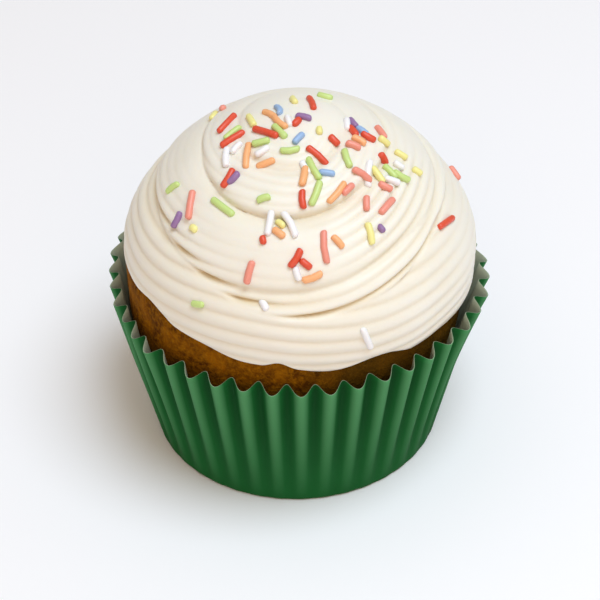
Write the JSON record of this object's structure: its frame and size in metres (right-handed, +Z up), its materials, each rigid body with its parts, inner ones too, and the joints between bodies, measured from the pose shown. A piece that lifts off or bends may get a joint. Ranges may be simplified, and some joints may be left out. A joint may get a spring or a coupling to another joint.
{
  "type": "cupcake",
  "caption": "Cupcake in a pleated paper case, with a domed sponge, a broad spiral swirl of piped icing and short sugar strands scattered over it.",
  "frame": {"origin": "centre of the footprint of the paper case, on the surface that the cupcake stands on", "axes": "+Z up, -Y towards the front, where the piping starts at the icing's lower edge, +X to the right"},
  "size_m": [0.066, 0.0632, 0.063],
  "materials": {
    "paper_case": "matt green greaseproof paper, pleated, paler on the inside",
    "sponge": "baked sponge crust, amber brown, matt, slightly craggy",
    "buttercream": "cream-coloured piped icing, soft satin, with sugar strands in mixed colours"
  },
  "bodies": {
    "root": {"paper_case": "paper_case", "sponge": "sponge", "buttercream": "buttercream"}
  },
  "joints": []
}
